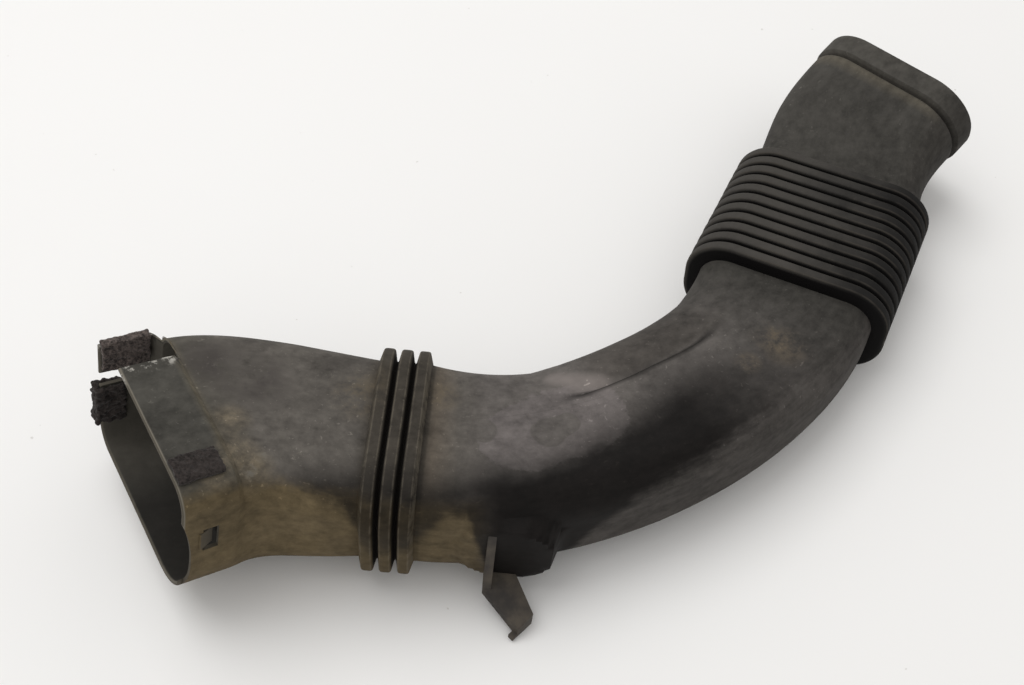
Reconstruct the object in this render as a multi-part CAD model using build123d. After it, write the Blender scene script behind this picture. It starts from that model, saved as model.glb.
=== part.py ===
from build123d import *
from math import cos, pi, radians, sin, tan
import os

# Blow-moulded raw-air duct of a car engine, lying on a table as it comes to rest. It is moulded in one
# shot from a hose of two plastics, hard at both ends and soft in the bellows. Here it is in lengths that
# meet face to face, each straight enough to be open from end to end for collision.
# Millimetres, +Z up, +X along the inlet leg, origin under the middle of the whole part.
# Each hard point is the middle of a stretch: place, heading in plan, climb along the heading.
# In a section plane local x points left of the air's path, local y up and local z along it.

# Wall of the blow moulding
WALL = 2.0
ROOT_WALL = 3.0             # under the grooves of the rings, where the moulding is blown out least

# Inlet collar
INLET_PLACE = (-170.0, -116.1, 58.2)
INLET_HEADING = 30.5
INLET_CLIMB = -14.0
INLET_WIDTH = 109.0
INLET_HEIGHT = 79.0
INLET_DEPTH = 25.0
INLET_CORNER = 12.0
INLET_SAGGED_CORNER = 26.0  # the lower right corner has sagged to a wider round
COLLAR_STEP_LENGTH = 3.6    # shoulder between the collar and the neck

# Neck between the inlet collar and the flex rings
NECK_WIDTH = 102.0
NECK_HEIGHT = 71.5
NECK_CORNER = 18.0
NECK_SHIFT = -2.0           # neck lies right of the collar's middle
NECK_LEAD_IN = 22.0
NECK_LEAD_OUT = 34.0

# Three flex rings
RINGS_PLACE = (-54.5, -101.0, 39.2)
RINGS_HEADING = -3.5
RINGS_CLIMB = -4.5
PIPE_WIDTH = 87.0
PIPE_HEIGHT = 64.0
PIPE_CORNER = 20.0
RING_COUNT = 3
RING_PITCH = 8.5
RING_FLAT = 4.6
RING_RISE = 6.4

# Bend between the flex rings and the bellows
BEND_LEAD_IN = 68.0
BEND_LEAD_OUT = 62.0
BEND_SWELL = 2.0            # extra width at mid-bend
BEND_FLANK = 25.6           # extra radius of the inner top corner at mid-bend
FLANK_LAND = 1.0            # straight wall left under that corner

# Bellows
BELLOWS_PLACE = (161.9, 38.5, 29.8)
BELLOWS_HEADING = 64.0
BELLOWS_PIPE_WIDTH = 94.0
BELLOWS_PIPE_HEIGHT = 42.5
BELLOWS_PIPE_CORNER = 16.0
BELLOWS_COUNT = 11
BELLOWS_PITCH = 7.95
BELLOWS_FLAT = 4.6
BELLOWS_RISE = 8.5          # end wall, from the pipe to the crests
GROOVE_DEPTH = 5.5
END_RUN = 1.2               # draft of the two end walls

# Outlet neck and collar
OUTLET_PLACE = (228.5, 149.0, 51.4)
OUTLET_HEADING = 44.5
OUTLET_CLIMB = 15.5
OUTLET_WIDTH = 100.0
OUTLET_HEIGHT = 57.0
OUTLET_CORNER = 27.0
OUTLET_BAND = 13.0
OUTLET_RIDGE = 1.2          # end of the neck lies this far in from the collar
OUTLET_GROOVE = 3.4         # and the groove between them this far
OUTLET_GROOVE_RUN = 2.0     # each flank of that groove, along the duct
OUTLET_LEAD_IN = 32.0
OUTLET_LEAD_OUT = 38.0

# Cuts in the inlet collar
NOTCH_WIDTH = 30.0          # broken out of the top wall at the left corner
NOTCH_DROP = 14.0           # left wall is broken off this far under the top
SLOT_HEIGHT = 9.0           # slot in the left wall, open to the mouth
SLOT_DEPTH = 20.0
SLOT_UP = 3.2
WINDOW_HEIGHT = 15.0        # snap window in the right wall
WINDOW_DEPTH = 7.0
WINDOW_UP = 7.5
WINDOW_IN = 13.0
TONGUE_WIDTH = 11.0         # snap tongue that leans in from the window's edge at the mouth's side
TONGUE_LENGTH = 5.5
TONGUE_WALL = 1.2
TONGUE_LEAN = 25.0
SCALLOP_WIDTH = 58.0        # shallow scallop in the mouth's edge on the right wall
SCALLOP_DEPTH = 4.5
SCALLOP_UP = -6.0

# Weld pad on the duct's right wall
PAD_ALONG = 42.0            # from the end of the flex rings to the middle of the pad
PAD_DOWN = 2.0
PAD_LENGTH = 44.0
PAD_HEIGHT = 40.0
PAD_CORNER = 16.0
PAD_PROUD = 1.0
PAD_ROOT = 12.0             # reaches back past the round of the pipe's corner
PAD_DRAFT = 15.0

# Bracket on the weld pad: arm plate with a gusset above it, a flange and a lip below it
BRACKET_WALL = 2.5
GUSSET_WALL = 4.0
GUSSET_HEIGHT = 33.5
GUSSET_REACH = 8.5
GUSSET_LEFT = 9.0           # gusset's left face, from the pad's middle
ARM_DOWN = 16.4             # arm's top face at its root, under the pad's middle
ARM_ROOT_WIDTH = 15.0
ARM_SLOPE = 17.0
ARM_TURN = 49.0             # arm leans towards the outlet
ARM_REACH = 24.0            # along the flange
TIP_WIDTH = 9.8
LIP_HEIGHT = 7.9
FLANGE_ROOT = 3.0
NUB = 3.0

# Felt pads glued to the inlet collar
FELT = 2.6
FELT_GLUE = 0.3
FELT_INSET = 1.0            # from the mouth to the pads on the walls
SHOULDER_FELT_EDGE = 8.0    # from the right wall
SHOULDER_FELT_WIDTH = 14.0
SHOULDER_FELT_LENGTH = 21.0
EDGE_FELT_LENGTH = 23.0
EDGE_FELT_LEG = 15.0
CORNER_FELT_LEG = 12.0
CORNER_FELT_DROP = 0.5      # under the slot
CORNER_FELT_HEIGHT = 24.0


def heading_vector(heading, climb):
    """Unit vector of a heading in plan, degrees left of +X, and a climb."""
    flat = cos(radians(climb))
    return Vector(flat * cos(radians(heading)), flat * sin(radians(heading)), sin(radians(climb)))


def section_plane(place, heading, climb=0.0):
    left = heading_vector(heading + 90, 0)
    return Plane(origin=place, x_dir=left, z_dir=heading_vector(heading, climb))


def along(plane, distance, shift=0.0):
    """The same section plane, further along the air's path and shifted to the left."""
    moved = plane.origin + plane.z_dir * distance + plane.x_dir * shift
    return Plane(origin=moved, x_dir=plane.x_dir, z_dir=plane.z_dir)


def rounded(width, height, corner):
    return RectangleRounded(width, height, corner)


def odd_cornered(width, height, corner, odd, side):
    """Rounded rectangle, one corner of which has a radius of its own."""
    outline = Rectangle(width, height)
    there = (side[0] * width, side[1] * height, 0)
    outline = fillet(outline.vertices().sort_by_distance(there)[1:], corner)
    return fillet(outline.vertices().sort_by_distance(there)[0], odd)


def grown(size, offset):
    """Width, height and corner of a section that is set out, or in, all round."""
    width, height, corner = size
    return width + 2 * offset, height + 2 * offset, corner + offset


def blend(size, other, share):
    return tuple(a + (b - a) * share for a, b in zip(size, other))


NECK = (NECK_WIDTH, NECK_HEIGHT, NECK_CORNER)
PIPE = (PIPE_WIDTH, PIPE_HEIGHT, PIPE_CORNER)
BELLOWS_PIPE = (BELLOWS_PIPE_WIDTH, BELLOWS_PIPE_HEIGHT, BELLOWS_PIPE_CORNER)
OUTLET = (OUTLET_WIDTH, OUTLET_HEIGHT, OUTLET_CORNER)
OUTLET_NECK = grown(OUTLET, -OUTLET_RIDGE)

MOUTH_PLANE = section_plane(INLET_PLACE, INLET_HEADING, INLET_CLIMB)
NECK_PLANE = along(MOUTH_PLANE, INLET_DEPTH + COLLAR_STEP_LENGTH, NECK_SHIFT)
RINGS_PLANE = section_plane(RINGS_PLACE, RINGS_HEADING, RINGS_CLIMB)
BELLOWS_PLANE = section_plane(BELLOWS_PLACE, BELLOWS_HEADING)
OUTLET_PLANE = section_plane(OUTLET_PLACE, OUTLET_HEADING, OUTLET_CLIMB)

RINGS_HALF = RING_COUNT * RING_PITCH / 2
BELLOWS_HALF = ((BELLOWS_COUNT - 1) * BELLOWS_PITCH + BELLOWS_FLAT) / 2 + END_RUN
RINGS_START = along(RINGS_PLANE, -RINGS_HALF)
RINGS_END = along(RINGS_PLANE, RINGS_HALF)
BELLOWS_START = along(BELLOWS_PLANE, -BELLOWS_HALF)
BELLOWS_END = along(BELLOWS_PLANE, BELLOWS_HALF)
BELLOWS_SPLIT = (BELLOWS_COUNT % 2) * BELLOWS_PITCH / 2  # the groove nearest the middle
FUZZ = 0.001
OUTLET_NECK_END = along(OUTLET_PLANE, -OUTLET_BAND - 2 * OUTLET_GROOVE_RUN)
PAD_STATION = along(RINGS_END, PAD_ALONG, -PIPE_WIDTH / 2 - PAD_PROUD)
PAD_PLANE = Plane(origin=PAD_STATION.origin - PAD_STATION.y_dir * PAD_DOWN, x_dir=PAD_STATION.z_dir,
                  z_dir=-PAD_STATION.x_dir)


def centreline(start, end, lead_in, lead_out):
    """Curve that leaves one plane and enters the other square to them."""
    handle_in = start.origin + start.z_dir * lead_in
    handle_out = end.origin - end.z_dir * lead_out
    return Bezier(start.origin, handle_in, handle_out, end.origin)


def plane_between(curve, start, end, share):
    """Plane on the curve, turned evenly from the first plane to the last."""
    forward = start.z_dir * (1 - share) + end.z_dir * share
    left = Vector(-forward.Y, forward.X, 0)
    return Plane(origin=curve @ share, x_dir=left, z_dir=forward)


def swept_pipe(start, end, leads, size, end_size, stations):
    """Outside and inside of a pipe whose section changes from one size to the other along its curve."""
    curve = centreline(start, end, *leads)
    outer = []
    inner = []
    for i in range(stations + 1):
        share = i / stations
        plane = plane_between(curve, start, end, share)
        here = blend(size, end_size, share)
        outer.append(plane * rounded(*here))
        inner.append(plane * rounded(*grown(here, -WALL)))
    return loft(outer), loft(inner)


def bend_section(share, offset):
    """Section of the bend: its inner top corner widens to a broad flank and closes up again."""
    width, height, corner = blend(PIPE, BELLOWS_PIPE, share)
    bulge = sin(pi * share)
    flank = min(corner + BEND_FLANK * bulge, height - corner - FLANK_LAND)
    size = grown((width + BEND_SWELL * bulge, height, corner), offset)
    return odd_cornered(*size, flank + offset, (1, 1))


def make_bend(stations):
    curve = centreline(RINGS_END, BELLOWS_START, BEND_LEAD_IN, BEND_LEAD_OUT)
    shares = [i / stations for i in range(stations + 1)]
    planes = [plane_between(curve, RINGS_END, BELLOWS_START, share) for share in shares]
    outer = loft([plane * bend_section(share, 0) for plane, share in zip(planes, shares)])
    inner = loft([plane * bend_section(share, -WALL) for plane, share in zip(planes, shares)])
    return outer, inner


def ring_outline(count, pitch, flat, depth):
    """Outside of the crests and grooves: distance from the middle, offset from the crest."""
    first = -(count - 1) * pitch / 2
    points = []
    for i in range(count):
        middle = first + i * pitch
        points += [(middle - flat / 2, 0), (middle + flat / 2, 0)]
        if i < count - 1:
            points.append((middle + pitch / 2, -depth))
    return points


def ring_lining(count, pitch, depth):
    """Inside of the crests and grooves, a plain zigzag."""
    first = -(count - 1) * pitch / 2
    points = []
    for i in range(count):
        middle = first + i * pitch
        points.append((middle, -WALL))
        if i < count - 1:
            points.append((middle + pitch / 2, -depth - ROOT_WALL))
    return points


def banded(plane, crest, points):
    """Ruled bands from section to section, each set in from the crest."""
    return loft([along(plane, z) * rounded(*grown(crest, offset)) for z, offset in points], ruled=True)


def make_flex_rings():
    outline = ring_outline(RING_COUNT, RING_PITCH, RING_FLAT, RING_RISE)
    lining = ring_lining(RING_COUNT, RING_PITCH, RING_RISE)
    crest = grown(PIPE, RING_RISE)
    bore = -RING_RISE - WALL
    outside = [(-RINGS_HALF, -RING_RISE)] + outline + [(RINGS_HALF, -RING_RISE)]
    inside = [(-RINGS_HALF, bore)] + lining + [(RINGS_HALF, bore)]
    return banded(RINGS_PLANE, crest, outside), banded(RINGS_PLANE, crest, inside)


def make_bellows(near, far):
    """Soft length between two distances from the middle of the bellows, each a groove or an end."""
    outline = ring_outline(BELLOWS_COUNT, BELLOWS_PITCH, BELLOWS_FLAT, GROOVE_DEPTH)
    lining = ring_lining(BELLOWS_COUNT, BELLOWS_PITCH, GROOVE_DEPTH)
    crest = grown(BELLOWS_PIPE, BELLOWS_RISE)
    bore = -BELLOWS_RISE - WALL
    inner_end = BELLOWS_HALF - WALL
    outside = [(-BELLOWS_HALF, -BELLOWS_RISE)] + outline + [(BELLOWS_HALF, -BELLOWS_RISE)]
    inside = [(-BELLOWS_HALF, bore), (-inner_end, bore)] + lining
    inside += [(inner_end, bore), (BELLOWS_HALF, bore)]
    shell = [[(z, offset) for z, offset in points if near - FUZZ < z < far + FUZZ]
             for points in (outside, inside)]
    return banded(BELLOWS_PLANE, crest, shell[0]) - banded(BELLOWS_PLANE, crest, shell[1])


def collar_outline(offset=0.0):
    """Outline of the inlet collar, set out or in all round."""
    size = grown((INLET_WIDTH, INLET_HEIGHT, INLET_CORNER), offset)
    return odd_cornered(*size, INLET_SAGGED_CORNER + offset, (-1, -1))


def collar_box(left, right, bottom, top, near, far):
    """Block in the collar's own frame, for its cuts and pads."""
    block = Box(left - right, top - bottom, far - near)
    return Pos((left + right) / 2, (top + bottom) / 2, (near + far) / 2) * block


def collar_shell(outside, inside, near, far):
    """Band that follows the collar's outline between two offsets."""
    band = collar_outline(outside) - collar_outline(inside)
    return Pos(0, 0, near) * extrude(band, far - near)


def make_inlet():
    """Outside and inside of the collar sleeve and of its shoulder down to the neck."""
    seat = Pos(0, 0, INLET_DEPTH)
    neck = Pos(NECK_SHIFT, 0, INLET_DEPTH + COLLAR_STEP_LENGTH)
    outer = extrude(collar_outline(), INLET_DEPTH)
    outer += loft([seat * collar_outline(), neck * rounded(*NECK)], ruled=True)
    inner = extrude(collar_outline(-WALL), INLET_DEPTH)
    inner += loft([seat * collar_outline(-WALL), neck * rounded(*grown(NECK, -WALL))], ruled=True)
    return MOUTH_PLANE * outer, MOUTH_PLANE * inner


LEFT_WALL = INLET_WIDTH / 2
BROKEN_TOP = INLET_HEIGHT / 2 - NOTCH_DROP
SLOT_BOTTOM = SLOT_UP - SLOT_HEIGHT / 2


def make_collar_cuts():
    """Broken notch at the top left corner, slot in the left wall and snap window in the right wall."""
    spare = WALL
    notch = collar_box(LEFT_WALL + spare, LEFT_WALL - NOTCH_WIDTH, BROKEN_TOP, INLET_HEIGHT / 2 + spare,
                       -spare, INLET_DEPTH + COLLAR_STEP_LENGTH)
    slot = collar_box(LEFT_WALL + spare, LEFT_WALL - 2 * WALL, SLOT_BOTTOM, SLOT_BOTTOM + SLOT_HEIGHT,
                      -spare, SLOT_DEPTH)
    window = collar_box(2 * WALL - LEFT_WALL, -LEFT_WALL - spare, WINDOW_UP - WINDOW_HEIGHT / 2,
                        WINDOW_UP + WINDOW_HEIGHT / 2, WINDOW_IN - WINDOW_DEPTH / 2,
                        WINDOW_IN + WINDOW_DEPTH / 2)
    return MOUTH_PLANE * (notch + slot + window + make_scallop())


def make_scallop():
    """Flat arc cut into the mouth's edge, through the right wall alone."""
    radius = ((SCALLOP_WIDTH / 2) ** 2 + SCALLOP_DEPTH ** 2) / (2 * SCALLOP_DEPTH)
    arc = Cylinder(radius, 3 * WALL, rotation=(0, 90, 0))
    return Pos(WALL / 2 - LEFT_WALL, SCALLOP_UP, SCALLOP_DEPTH - radius) * arc


def make_tongue():
    """Snap tongue in the window of the right wall."""
    tongue = collar_box(TONGUE_WALL, 0, -TONGUE_WIDTH / 2, TONGUE_WIDTH / 2, -WALL, TONGUE_LENGTH)
    hinge = Pos((WALL - TONGUE_WALL) / 2 - LEFT_WALL, WINDOW_UP, WINDOW_IN - WINDOW_DEPTH / 2)
    return MOUTH_PLANE * hinge * Rot(0, TONGUE_LEAN, 0) * tongue


def make_outlet():
    """Outside and inside of the collar at the engine's end, behind a narrow groove."""
    outline = [(-OUTLET_BAND - 2 * OUTLET_GROOVE_RUN, -OUTLET_RIDGE),
               (-OUTLET_BAND - OUTLET_GROOVE_RUN, -OUTLET_GROOVE), (-OUTLET_BAND, 0), (0, 0)]
    lining = [(outline[0][0], -OUTLET_RIDGE - WALL), (outline[1][0], -OUTLET_GROOVE - WALL),
              (0, -OUTLET_GROOVE - WALL)]
    return banded(OUTLET_PLANE, OUTLET, outline), banded(OUTLET_PLANE, OUTLET, lining)


def make_weld_pad():
    pad = extrude(RectangleRounded(PAD_LENGTH, PAD_HEIGHT, PAD_CORNER), -PAD_ROOT, taper=-PAD_DRAFT)
    return PAD_PLANE * pad


def make_inlet_duct():
    """Hard length from the inlet collar to the end of the flex rings."""
    outside, inside = make_inlet()
    neck = swept_pipe(NECK_PLANE, RINGS_START, (NECK_LEAD_IN, NECK_LEAD_OUT), NECK, PIPE, 4)
    for outer, inner in (neck, make_flex_rings()):
        outside += outer
        inside += inner
    return outside - inside - make_collar_cuts() + make_tongue()


def make_bend_duct():
    """Hard length round the bend, with the weld pad that carries the bracket, cut square at mid-bend."""
    outside, inside = make_bend(8)
    bend = outside + make_weld_pad() - inside
    curve = centreline(RINGS_END, BELLOWS_START, BEND_LEAD_IN, BEND_LEAD_OUT)
    middle = plane_between(curve, RINGS_END, BELLOWS_START, 0.5)
    return split(bend, middle, Keep.BOTTOM), split(bend, middle, Keep.TOP)


def make_outlet_duct():
    """Hard length from the bellows to the outlet's lip."""
    outer, inner = swept_pipe(BELLOWS_END, OUTLET_NECK_END, (OUTLET_LEAD_IN, OUTLET_LEAD_OUT),
                              BELLOWS_PIPE, OUTLET_NECK, 4)
    collar, bore = make_outlet()
    return outer + collar - (inner + bore)


def arm_top(place):
    """Height of the arm's sloping top face over a place in its plan."""
    return place.Y * tan(radians(ARM_SLOPE))


def make_arm():
    """Arm in plan: x along the duct, y towards it, z up from the arm's root."""
    lean = Vector(sin(radians(ARM_TURN)), -cos(radians(ARM_TURN)), 0)
    across = Vector(cos(radians(ARM_TURN)), sin(radians(ARM_TURN)), 0)
    far_side = ARM_ROOT_WIDTH - GUSSET_LEFT
    elbow = Vector(-GUSSET_LEFT, -GUSSET_REACH, 0)
    tip = elbow + lean * ARM_REACH
    far_tip = tip + across * TIP_WIDTH
    outline = Polygon((elbow.X, PAD_ROOT), (elbow.X, elbow.Y), (tip.X, tip.Y), (far_tip.X, far_tip.Y),
                      (far_side, 0), (far_side, PAD_ROOT), align=None)
    slab = Pos(0, 0, -BRACKET_WALL / 2) * Box(PAD_LENGTH * 2, PAD_LENGTH * 2, BRACKET_WALL)
    plate = extrude(outline, PAD_HEIGHT, both=True) & Rot(ARM_SLOPE, 0, 0) * slab
    side = Plane(origin=elbow, x_dir=lean, z_dir=-across)
    front = Plane(origin=tip, x_dir=across, z_dir=lean)
    bottom = arm_top(tip) - LIP_HEIGHT
    flange = side * Polygon((0, arm_top(elbow)), (0, arm_top(elbow) - FLANGE_ROOT), (ARM_REACH, bottom),
                            (ARM_REACH, arm_top(tip)), align=None)
    lip = front * Polygon((0, arm_top(tip)), (0, bottom), (TIP_WIDTH, bottom), (TIP_WIDTH, arm_top(far_tip)),
                          align=None)
    nub = side * Pos(ARM_REACH - NUB / 2, bottom + NUB / 2) * Rectangle(NUB, NUB)
    return plate + extrude(flange, -BRACKET_WALL) + extrude(lip, -BRACKET_WALL) + extrude(nub, NUB)


def make_bracket():
    """Arm that runs out from the weld pad and down, under a gusset, with a flange and a lip at its tip."""
    bracket = Pos(0, -ARM_DOWN, 0) * Rot(-90, 0, 0) * make_arm() + make_gusset()
    behind = Pos(0, 0, -PAD_ROOT) * Box(PAD_LENGTH, 2 * PAD_HEIGHT, 2 * PAD_ROOT)
    return PAD_PLANE * (bracket - behind)


def make_gusset():
    """Upright web on the arm's left edge, in the weld pad's frame."""
    foot = -ARM_DOWN - BRACKET_WALL / 2
    profile = Polygon((0, foot), (GUSSET_REACH, foot - GUSSET_REACH * tan(radians(ARM_SLOPE))),
                      (0, GUSSET_HEIGHT - ARM_DOWN), align=None)
    web = Plane(origin=(-GUSSET_LEFT, 0, 0), x_dir=(0, 0, 1), z_dir=(-1, 0, 0))
    return extrude(web * profile, -GUSSET_WALL)


def make_shoulder_felt():
    """Pad that lies on the collar's top wall, by the right corner."""
    right = SHOULDER_FELT_EDGE - LEFT_WALL
    shell = collar_shell(FELT_GLUE + FELT, FELT_GLUE, FELT_INSET, FELT_INSET + SHOULDER_FELT_LENGTH)
    keep = collar_box(right + SHOULDER_FELT_WIDTH, right, 0, INLET_HEIGHT, 0, INLET_DEPTH)
    return MOUTH_PLANE * (shell & keep)


def make_edge_felt():
    """Pad on the inside of the left wall, folded over its broken top edge."""
    over = FELT_GLUE + FELT
    inner_face = LEFT_WALL - WALL
    bottom = BROKEN_TOP - EDGE_FELT_LEG
    far = FELT_INSET + EDGE_FELT_LENGTH
    fold = collar_box(LEFT_WALL, inner_face - over, bottom, BROKEN_TOP + over, FELT_INSET, far)
    wall = collar_box(LEFT_WALL, inner_face - FELT_GLUE, bottom, BROKEN_TOP + FELT_GLUE, FELT_INSET, far)
    return MOUTH_PLANE * (fold - wall)


def make_corner_felt():
    """Pad folded over the mouth's edge on the left wall, under the slot."""
    over = FELT_GLUE + FELT
    top = SLOT_BOTTOM - CORNER_FELT_DROP
    body = collar_shell(over, -WALL - over, -over, CORNER_FELT_LEG)
    wall = collar_shell(FELT_GLUE, -WALL - FELT_GLUE, -FELT_GLUE, CORNER_FELT_LEG)
    keep = collar_box(LEFT_WALL + over, LEFT_WALL - WALL - over, top - CORNER_FELT_HEIGHT, top,
                      -over, CORNER_FELT_LEG)
    return MOUTH_PLANE * ((body - wall) & keep)


def main():
    os.makedirs("parts", exist_ok=True)
    bend_front, bend_back = make_bend_duct()
    nodes = {
        "inlet_duct": make_inlet_duct(),
        "bend_front": bend_front,
        "bend_back": bend_back,
        "bellows_front": make_bellows(-BELLOWS_HALF, BELLOWS_SPLIT),
        "bellows_back": make_bellows(BELLOWS_SPLIT, BELLOWS_HALF),
        "outlet_duct": make_outlet_duct(),
        "bracket": make_bracket(),
        "shoulder_felt": make_shoulder_felt(),
        "edge_felt": make_edge_felt(),
        "corner_felt": make_corner_felt(),
    }
    boxes = [node.bounding_box() for node in nodes.values()]
    low = [min(getattr(box.min, axis) for box in boxes) for axis in "XYZ"]
    high = [max(getattr(box.max, axis) for box in boxes) for axis in "XYZ"]
    place = Pos(-(low[0] + high[0]) / 2, -(low[1] + high[1]) / 2, -low[2])
    for name, node in nodes.items():
        export_step(place * node, f"parts/{name}.step")


main()
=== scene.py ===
# %% [markdown]
# This is the raw-air duct of a car's engine, lying on a white table after a life under the bonnet. A scoop
# pushes into its broad inlet collar, and the oval collar at the other end slides into the air cleaner's lid.
# The CAD solids come in first, in metres and in their own frame. Every piece below is modelled over them.

# %% The frame and the CAD box
import bpy
from math import cos, degrees, pi, radians, sin, tan
import numpy as np
from mathutils import Matrix, Vector, noise


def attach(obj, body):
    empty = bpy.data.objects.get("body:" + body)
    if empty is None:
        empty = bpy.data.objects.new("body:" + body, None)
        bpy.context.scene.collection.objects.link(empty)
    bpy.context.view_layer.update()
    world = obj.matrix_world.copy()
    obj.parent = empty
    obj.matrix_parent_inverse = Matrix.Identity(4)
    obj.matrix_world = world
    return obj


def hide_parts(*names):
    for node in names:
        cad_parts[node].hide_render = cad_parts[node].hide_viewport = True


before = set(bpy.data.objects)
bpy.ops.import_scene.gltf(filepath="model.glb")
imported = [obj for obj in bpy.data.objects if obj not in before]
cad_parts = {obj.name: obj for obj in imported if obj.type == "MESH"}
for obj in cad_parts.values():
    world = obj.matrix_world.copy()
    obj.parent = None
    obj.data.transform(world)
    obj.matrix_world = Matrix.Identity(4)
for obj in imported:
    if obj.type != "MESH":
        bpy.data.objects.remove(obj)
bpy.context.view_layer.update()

MM = 0.001


# %% [markdown]
# A blow-moulded duct is a skin around the air's path, so its shape is told by stations on that path: a place,
# and the direction in which the air goes. Left and up at a station follow from the direction. The four hard
# stations are the inlet's mouth, the three flex rings, the bellows and the outlet's lip.

# %% Stations on the air's path
def direction(heading, climb=0.0):
    flat = cos(radians(climb))
    return np.array([flat * cos(radians(heading)), flat * sin(radians(heading)), sin(radians(climb))])


def axes(forward):
    """Left, up and ahead at a station."""
    ahead = forward / np.linalg.norm(forward)
    left = np.array([-ahead[1], ahead[0], 0.0])
    left /= np.linalg.norm(left)
    return left, np.cross(ahead, left), ahead


def along(station, distance, shift=0.0):
    """The same station, further along the path and shifted to the left."""
    left, _, ahead = axes(station[1])
    return station[0] + ahead * distance + left * shift, station[1]


MOUTH = np.array([-198.79, -121.15, 58.15]), direction(30.5, -14)
RINGS = np.array([-83.29, -106.05, 39.15]), direction(-3.5, -4.5)
BELLOWS = np.array([133.11, 33.45, 29.75]), direction(64)
OUTLET = np.array([199.71, 143.95, 51.35]), direction(44.5, 15.5)
print("mouth looks along", MOUTH[1].round(3), "and the lip along", OUTLET[1].round(3))


# %% [markdown]
# Every section of the duct is a rectangle with round corners. Two corners have a life of their own: the lower
# right one has sagged at the inlet, and the upper left one opens to a broad flank inside the bend. The flank
# could be a plain round, but the real one dips before it meets the top in a fold, so the end of its round is
# sunk a little under the top. Points crowd towards that fold to keep it crisp.

# %% Sections
ARC = 14
SIDE = 16
AROUND = 4 * (ARC + SIDE)
WALL = 2.0
CROWDING = 4.0  # a fold this deep doubles the power that crowds the points
DIP_POWER = 4  # the dip sets in late on the round
FOLD_LIP = 0.02  # share of the round over which the dip comes back up to the top


def section(width, height, corner, sagged=None):
    """Width, height and radii: left top across and down, right top, right bottom, left bottom."""
    return np.array([width, height, corner, corner, corner, sagged or corner, corner], float)


def grown(size, offset):
    return size + offset * np.array([2, 2, 1, 1, 1, 1, 1])


def corner_points(size, k, fold):
    """Points on one corner, counted from the upper left one over the top."""
    width, height, across, down, *radii = size
    rx, ry = (across, down) if k == 0 else (radii[k - 1], radii[k - 1])
    share = np.linspace(0, 1, ARC + 1)
    if k == 0:
        share = 1 - (1 - share) ** (1 + fold / CROWDING)
    turn = (k + share) * pi / 2
    side = np.sign([cos((k + 0.5) * pi / 2), sin((k + 0.5) * pi / 2)])
    middle = side * (np.array([width, height]) / 2 - [rx, ry])
    points = middle + np.column_stack([rx * np.cos(turn), ry * np.sin(turn)])
    if k == 0:
        points[:, 1] -= fold * share ** DIP_POWER * np.minimum(1, (1 - share) / FOLD_LIP)
    return points


def outline(size, fold=0.0):
    """All points round a section: each corner, then the side that leads to the next one."""
    corners = [corner_points(size, k, fold) for k in range(4)]
    points = []
    for k in range(4):
        share = np.linspace(0, 1, SIDE + 1)[1:-1, None]
        start, end = corners[k][-1], corners[(k + 1) % 4][0]
        points += [corners[k], start + (end - start) * share]
    return np.vstack(points)


print(AROUND, "points round each section")


# %% [markdown]
# A loop is one section laid at its station. It keeps a few numbers for the finish: how far left and how high
# each point sits in its section, whether it is in the fold's crease, how deep it lies in a groove, and
# whether it is on the lining or on a rim.

# %% Loops
FULL_CREASE = 2.0
CURVE_STEPS = 400


def loop(station, size, fold=0.0, depth=0.0, lining=0.0, edge=0.0):
    left, up, _ = axes(station[1])
    drawn = outline(size, fold)
    places = station[0] + drawn[:, :1] * left + drawn[:, 1:] * up
    in_fold = np.isin(np.arange(AROUND), [ARC - 1, ARC])
    return {"places": places, "centre": station[0], "leftness": drawn[:, 0] / (size[0] / 2),
            "upness": drawn[:, 1] / (size[1] / 2), "crease": in_fold * min(1, fold / FULL_CREASE),
            "depth": depth, "lining": lining, "edge": edge}


def banded(station, crest, profile, deepest, lining=0.0):
    """Loops from a profile of distance along and offset from the crest."""
    return [loop(along(station, z), grown(crest, offset), depth=min(1, -offset / deepest), lining=lining)
            for z, offset in profile]


def centreline(start, end, lead_in, lead_out, count):
    """Places at even lengths on the curve that joins two stations square to both."""
    t = np.linspace(0, 1, CURVE_STEPS + 1)[:, None]
    handle_in = start[0] + start[1] * lead_in
    handle_out = end[0] - end[1] * lead_out
    curve = start[0] * (1 - t) ** 3 + 3 * handle_in * t * (1 - t) ** 2
    curve = curve + 3 * handle_out * t ** 2 * (1 - t) + end[0] * t ** 3
    run = np.append(0, np.cumsum(np.linalg.norm(np.diff(curve, axis=0), axis=1)))
    wanted = np.linspace(0, run[-1], count + 1)
    return np.column_stack([np.interp(wanted, run, curve[:, k]) for k in range(3)])


def swept(start, end, leads, shape, count, lining=0.0):
    """Loops along the curve between two stations; shape gives size and fold for a share of the way."""
    made = []
    for i, place in enumerate(centreline(start, end, *leads, count)):
        share = i / count
        forward = start[1] * (1 - share) + end[1] * share
        made.append(loop((place, forward), *shape(share), lining=lining))
    return made


# %% [markdown]
# The flex rings and the bellows are the same idea at two sizes: flat crests with worn edges, and narrow
# grooves that let the duct give. On the real moulding the lining follows the outside one wall further in.
# It is a plain zigzag here, because it is seen only as a shadow through the mouths.

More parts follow.
